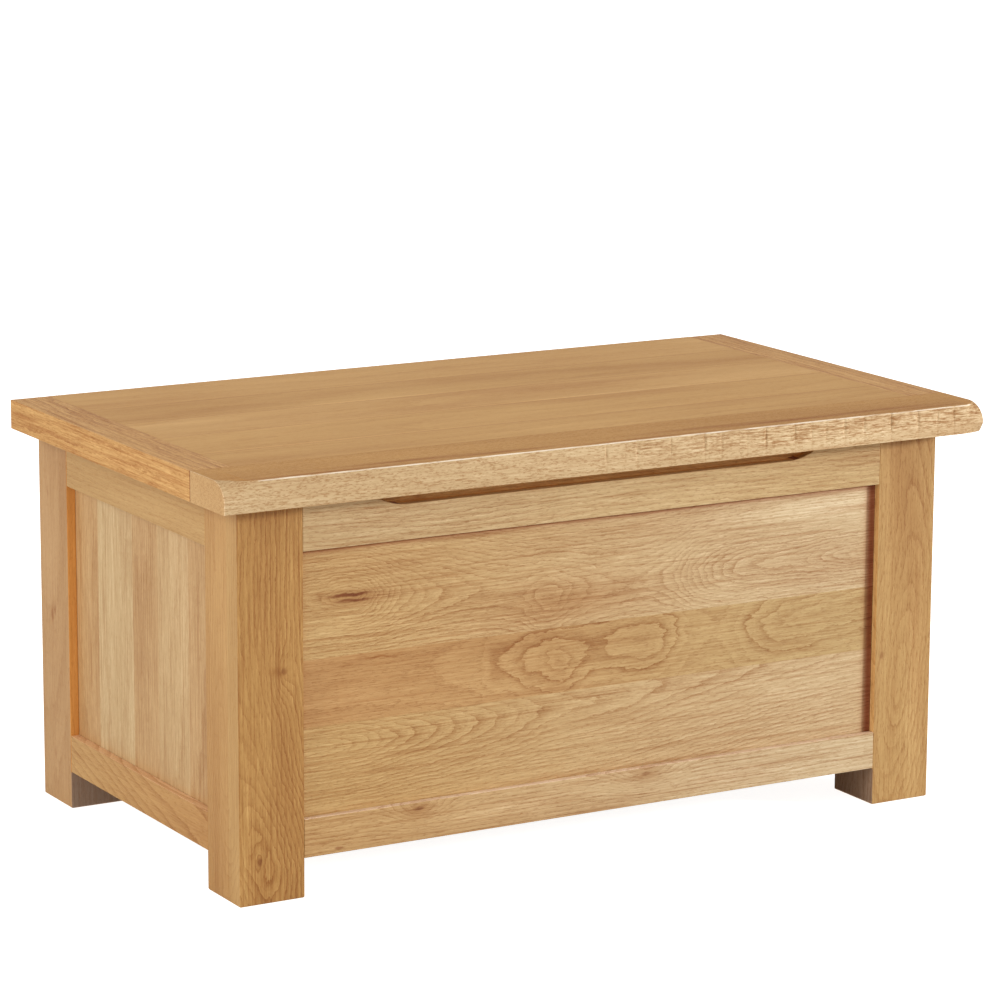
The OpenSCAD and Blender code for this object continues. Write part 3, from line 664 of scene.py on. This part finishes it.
def strip_ring(x, low, high, marks):
    """The strip's outline at a place along it: the flat back, then the hewn face from top to bottom."""
    setback, roundness = hewn_shape(x)
    setback += (1 + math.sin(x * 31) + math.sin(x * 83 + 1) * 0.5) * 0.35 * MM
    end_fade = min(1.0, (high.x - x) / END_LENGTH, (x - low.x) / END_LENGTH)
    ring = [Vector((x, high.y, low.z)), Vector((x, high.y, high.z))]
    for count in range(FACE_POINTS + 1):
        angle = math.pi / 2 * (1 - count / FACE_POINTS)
        y = low.y + setback * (1 - math.cos(angle) ** (2 / roundness))
        z = high.z - FACE_DROP * (1 - math.sin(angle) ** (2 / roundness))
        inner = math.sin(math.pi * count / FACE_POINTS * 0.9) * end_fade
        ring.append(Vector((x, y + tool_depth(x, z, marks) * max(0.0, inner), z)))
    tuck = RIGHT_TUCK * max(0.0, (x - high.x + TUCK_LENGTH) / TUCK_LENGTH) ** 2
    straight = high.z - FACE_DROP - low.z
    for share in LOWER_SHARES:
        flat = tool_depth(x, low.z, marks) * 0.25 * end_fade
        ring.append(Vector((x, low.y + flat + tuck * share, high.z - FACE_DROP - straight * share)))
    ring.append(Vector((x, low.y + LOWER_SETBACK + tuck, low.z)))
    return ring


def strip_mesh(low, high, marks):
    """A closed mesh through the strip's outlines."""
    steps = round((high.x - low.x) / HEWN_STEP)
    mesh = bmesh.new()
    rings = []
    for step in range(steps + 1):
        x = low.x + (high.x - low.x) * step / steps
        rings.append([mesh.verts.new(point) for point in strip_ring(x, low, high, marks)])
    corners = len(rings[0])
    for before, after in zip(rings, rings[1:]):
        for index in range(corners):
            other = (index + 1) % corners
            mesh.faces.new((before[index], before[other], after[other], after[index]))
    mesh.faces.new(rings[0][::-1])
    mesh.faces.new(rings[-1])
    bmesh.ops.recalc_face_normals(mesh, faces=mesh.faces)
    data = bpy.data.meshes.new("lid_front_hewn")
    mesh.to_mesh(data)
    mesh.free()
    data.polygons.foreach_set("use_smooth", [True] * len(data.polygons))
    return data


def hewn_oak(low, high, marks):
    """Open-pored oak: pale on its hewn face, darker on top, with a painted highlight along the rim at its
    left end.
    """
    left, back, bottom, top = low.x / MM, high.y / MM, low.z / MM, high.z / MM
    left_end = (left - 1, left + 0.2)
    hewn_face = (418, 438.5)
    return oak("oak_hewn", low, high, "x", "z", (190, 142, 81), 81, ring=2.6, pith=(-140, 20), line=0.3,
               fine=0.45, fibre=0.75, pores=0.65, pore_size=(205, 980), pore_level=(0.53, 0.63), jag=1,
               roughness=0.6,
               hatch=(({"z": hewn_face, "x": (10, 140)}, 0.5), ({"z": hewn_face, "x": (140, 452)}, 0.8)),
               quiet=(({"z": (top - 0.1, top + 1)}, 0.35), ({"x": left_end}, 0.3)),
               layers=(({"z": (bottom + 0.1, top - 0.1)}, (203, 173, 129)),
                       # A thin pale band at the left end is a painted highlight along the rounded rim.
                       ({"x": (left + 0.2, left + 1.3)}, (222, 190, 146)),
                       ({"x": left_end}, (198, 159, 108)),
                       ({"x": (left - 1, left + 0.3), "y": (back - 0.8, 0)}, (120, 78, 44))),
               streaks=((330, -260, 170, 4, -0.95), (-330, -253, 90, 3.0, 0.9), (-240, -240, 60, 4.5, 0.8),
                        (-130, -247, 60, 3.5, 0.8), (30, -253, 90, 3.0, 0.8), (110, -234, 70, 4.5, 0.7),
                        (215, -241, 80, 5.0, 0.9), (335, -237, 60, 4.5, 0.7), (390, -248, 40, 3.0, 0.6),
                        *[(cut / MM, -261, 1.0, 2.6, 0.3) for cut, _, _ in marks]),
               arris={"x": (-412, 436), "z": (top - 1.3, top - 0.02)})


def hewn_strip():
    """The lid's front strip: flat behind and below, hewn by hand along its front."""
    low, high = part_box("lid_front_strip")
    marks = saw_marks(high.x)
    strip = bpy.data.objects.new("lid_front_hewn", strip_mesh(low, high, marks))
    bpy.context.scene.collection.objects.link(strip)
    split = strip.modifiers.new("crisp_edges", "EDGE_SPLIT")
    split.split_angle = CRISP
    strip.data.materials.append(hewn_oak(low, high, marks))
    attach(strip, "lid")
    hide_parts("lid_front_strip")


# ---------------------------------------------------------------- base, battens and hardware


PLY_PALE = (214, 188, 148)
PLY_DARK = (204, 172, 128)
PINE_PALE = (216, 184, 132)
PINE_DARK = (190, 144, 90)
BRASS = (196, 160, 92)
WORN_BRASS = (172, 134, 72)
ZINC = (176, 178, 180)
WORN_ZINC = (150, 152, 156)
RUBBER_DARK = (214, 212, 204)
RUBBER_PALE = (232, 231, 226)


def plywood(name):
    """Birch ply: a pale rotary-cut face."""
    g = Graph(name)
    at = g.object_place()
    swirl = g.noise(at, (3, 10, 10), (3, 1, 7), detail=3.0)
    waves = g.math("SINE", swirl * 90) * 0.5 + 0.5
    fibre = g.noise(at, (30, 500, 500), (9, 2, 4))
    colour = g.mix(waves * 0.5, linear(PLY_PALE), linear(PLY_DARK))
    colour = g.tint(g.between(fibre, 0.0, 1.0, 0.45, 0.7) * 0.4, colour, DARK_LINE)
    return g.finish(colour, g.between(fibre, 0.5, 0.65), fibre + waves * 0.3, 0.15 * MM)


def pine(name):
    """Softwood battens: yellow, with wide soft rings."""
    g = Graph(name)
    at = g.object_place()
    rings = g.noise(at, (2, 60, 60), (5, 5, 1), detail=1.0)
    stripes = g.math("SINE", rings * 60) * 0.5 + 0.5
    fibre = g.noise(at, (30, 600, 600), (2, 8, 3))
    colour = g.mix(stripes * 0.8, linear(PINE_PALE), linear(PINE_DARK))
    return g.finish(colour, g.between(fibre, 0.5, 0.62), fibre + stripes * 0.3, 0.2 * MM)


def brushed_metal(name, colour, worn, roughness):
    """Plated metal with fine brushing, and cloudy handling marks."""
    g = Graph(name)
    at = g.object_place()
    brush = g.noise(at, (90, 2600, 2600), (1, 4, 2))
    cloud = g.noise(at, (55, 55, 55), (7, 3, 9), detail=3.0)
    tone = g.mix(g.between(cloud, 0.0, 1.0, 0.35, 0.7), linear(colour), linear(worn))
    shine = g.between(brush * 0.6 + cloud * 0.4, roughness - 0.08, roughness + 0.12, 0.3, 0.7)
    return g.finish(tone, shine, brush, 0.04 * MM, metallic=1.0)


def clear_rubber(name):
    """Soft, slightly cloudy pads."""
    g = Graph(name)
    cloud = g.noise(g.object_place(), (300, 300, 300), (2, 2, 2))
    colour = g.mix(cloud, linear(RUBBER_DARK), linear(RUBBER_PALE))
    return g.finish(colour, g.between(cloud, 0.25, 0.4), cloud, 0.03 * MM, Transmission_Weight=0.35)


def finish_hardware():
    """The finishes of all that isn't oak, by the start of each node's name."""
    brass = brushed_metal("brass", BRASS, WORN_BRASS, 0.32)
    steel = brushed_metal("zinc_steel", ZINC, WORN_ZINC, 0.36)
    rubber = clear_rubber("clear_rubber")
    face = plywood("birch_plywood")
    batten = pine("pine")
    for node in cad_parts:
        if node.startswith("hinge"):
            dress(node, brass)
        elif node.startswith("stay") or node == "batten_screws":
            dress(node, steel)
        elif node == "lid_buffers":
            dress(node, rubber)
        elif node == "base_panel":
            dress(node, face)
        elif node.startswith("batten"):
            dress(node, batten)
            ease(node, 1.0 * MM)


# ---------------------------------------------------------------- studio


FLOOR_HALF = 25.0            # half the floor's side
FLOOR_DROP = 0.4 * MM        # the floor lies this far below the feet
UNDER_FOOT = 3 * MM


def floor_finish():
    """Pale paint, with a glow that only camera rays see.

    It is clear from below, and to rays that start less than 3 mm away, so that it neither hides nor
    blacks out the undersides of the feet.
    """
    g = Graph("studio_floor")
    rays = g.node("LightPath", {})
    facing = g.node("NewGeometry", {})
    paint = g.node("BsdfDiffuse", {"Color": (0.75, 0.75, 0.75, 1.0)})
    glow = Value(g, rays.outputs["Is Camera Ray"]) * 0.9
    lift = g.node("Emission", {"Color": WHITE, "Strength": glow})
    both = g.node("AddShader", {})
    g.tree.links.new(paint.outputs[0], both.inputs[0])
    g.tree.links.new(lift.outputs[0], both.inputs[1])
    clear = g.node("BsdfTransparent", {})
    under_foot = g.math("LESS_THAN", Value(g, rays.outputs["Ray Length"]), UNDER_FOOT)
    see_through = g.math("MAXIMUM", Value(g, facing.outputs["Backfacing"]), under_foot)
    pick = g.node("MixShader", {"Fac": see_through})
    g.tree.links.new(both.outputs[0], pick.inputs[1])
    g.tree.links.new(clear.outputs[0], pick.inputs[2])
    out = g.tree.nodes.new("ShaderNodeOutputMaterial")
    g.tree.links.new(pick.outputs[0], out.inputs["Surface"])
    return g.material


def floor():
    """A plain pale floor that shows only soft contact shadows."""
    half = FLOOR_HALF
    corners = [(-half, -half, 0), (half, -half, 0), (half, half, 0), (-half, half, 0)]
    data = bpy.data.meshes.new("studio_floor")
    data.from_pydata(corners, [], [(0, 1, 2, 3)])
    data.materials.append(floor_finish())
    plane = bpy.data.objects.new("studio_floor", data)
    plane.location.z = -FLOOR_DROP
    bpy.context.scene.collection.objects.link(plane)


MIDDLE = Vector((0, 0, 0.22))    # the chest's middle, which the lights face


def direction(azimuth, elevation):
    """The way out from the chest. Azimuth 0 is to its front and 90 to its right, in radians."""
    level = math.cos(elevation)
    return Vector((math.sin(azimuth) * level, -math.cos(azimuth) * level, math.sin(elevation)))


def soft_light(name, azimuth, elevation, distance, size, power):
    """A square white soft box that faces the chest, placed by angles in degrees."""
    data = bpy.data.lights.new(name, "AREA")
    data.shape = "SQUARE"
    data.size = size
    data.energy = power
    lamp = bpy.data.objects.new(name, data)
    out = direction(math.radians(azimuth), math.radians(elevation))
    lamp.location = MIDDLE + out * distance
    lamp.rotation_mode = "QUATERNION"
    lamp.rotation_quaternion = out.to_track_quat("Z", "Y")
    bpy.context.scene.collection.objects.link(lamp)


def white_room():
    """A world that lights the chest softly and looks plain white to the camera."""
    world = bpy.data.worlds.new("white_room")
    bpy.context.scene.world = world
    world.use_nodes = True
    tree = world.node_tree
    tree.nodes.clear()
    rays = tree.nodes.new("ShaderNodeLightPath")
    seen = tree.nodes.new("ShaderNodeBackground")
    seen.inputs["Color"].default_value = WHITE
    seen.inputs["Strength"].default_value = 1.05
    ambient = tree.nodes.new("ShaderNodeBackground")
    ambient.inputs["Color"].default_value = (1.0, 0.985, 0.96, 1.0)
    ambient.inputs["Strength"].default_value = 0.68
    pick = tree.nodes.new("ShaderNodeMixShader")
    out = tree.nodes.new("ShaderNodeOutputWorld")
    tree.links.new(rays.outputs["Is Camera Ray"], pick.inputs["Fac"])
    tree.links.new(ambient.outputs[0], pick.inputs[1])
    tree.links.new(seen.outputs[0], pick.inputs[2])
    tree.links.new(pick.outputs[0], out.inputs["Surface"])


def studio():
    soft_light("key", 54, 13, 7.0, 0.6, 300)
    soft_light("left_fill", -82, 20, 4.0, 2.0, 64)
    white_room()
    bpy.context.scene.view_settings.view_transform = "Standard"


# The camera that was fitted to the photo: its angles, focal length in millimetres and place.
AZIMUTH = math.radians(-30.03)
ELEVATION = math.radians(11.76)
ROLL = math.radians(0.27)
LENS = 145.59
SENSOR = 36
EYE = Vector((-2.1175, -3.6726, 1.2139))


def camera():
    """A long lens from the chest's left front, a little above it."""
    back = direction(AZIMUTH, ELEVATION)
    right = Vector((math.cos(AZIMUTH), math.sin(AZIMUTH), 0))
    up = back.cross(right)
    rolled_right = right * math.cos(ROLL) + up * math.sin(ROLL)
    rolled_up = up * math.cos(ROLL) - right * math.sin(ROLL)
    data = bpy.data.cameras.new("camera")
    data.sensor_width = SENSOR
    data.lens = LENS
    eye = bpy.data.objects.new("camera", data)
    place = Matrix((rolled_right, rolled_up, back)).transposed().to_4x4()
    place.translation = EYE
    eye.matrix_world = place
    bpy.context.scene.collection.objects.link(eye)
    bpy.context.scene.camera = eye


finish_front_left_leg()
finish_front_right_leg()
finish_back_legs()
finish_front_rails()
finish_side_rails()
finish_back_rails()
finish_upper_board()
finish_middle_board()
finish_lower_board()
finish_back_panel()
finish_side_staves()
finish_lid_staves()
finish_lid_cleats()
hewn_strip()
finish_hardware()
floor()
studio()
camera()
